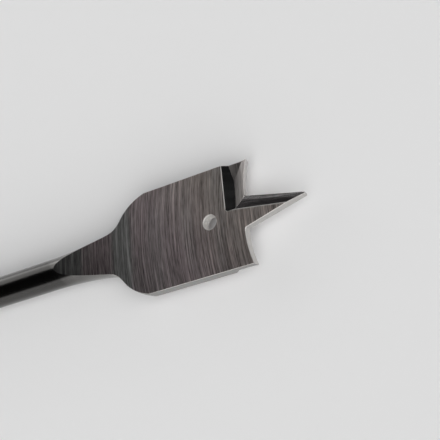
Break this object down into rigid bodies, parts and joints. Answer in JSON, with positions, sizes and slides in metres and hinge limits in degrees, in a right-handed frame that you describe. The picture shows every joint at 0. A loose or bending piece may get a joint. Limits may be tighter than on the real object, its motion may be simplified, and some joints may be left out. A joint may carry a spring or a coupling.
{
  "type": "spade drill bit",
  "caption": "Flat spade drill bit for wood: ground blade with a centre point, cutting lips, outer spurs and a hanging hole, on a round shank with a hex end.",
  "frame": {"origin": "centre of the shank's rear end face, on the bit's axis", "axes": "+X along the bit's axis toward the centre point, +Y across the blade, +Z out of the blade's face, up as the bit lies"},
  "size_m": [0.1524, 0.019, 0.0064],
  "materials": {
    "ground_steel": "bare forged steel, surface-ground faces with fine cross grain, satin round shank"
  },
  "bodies": {
    "root": {"spade_bit": "ground_steel"}
  },
  "joints": []
}
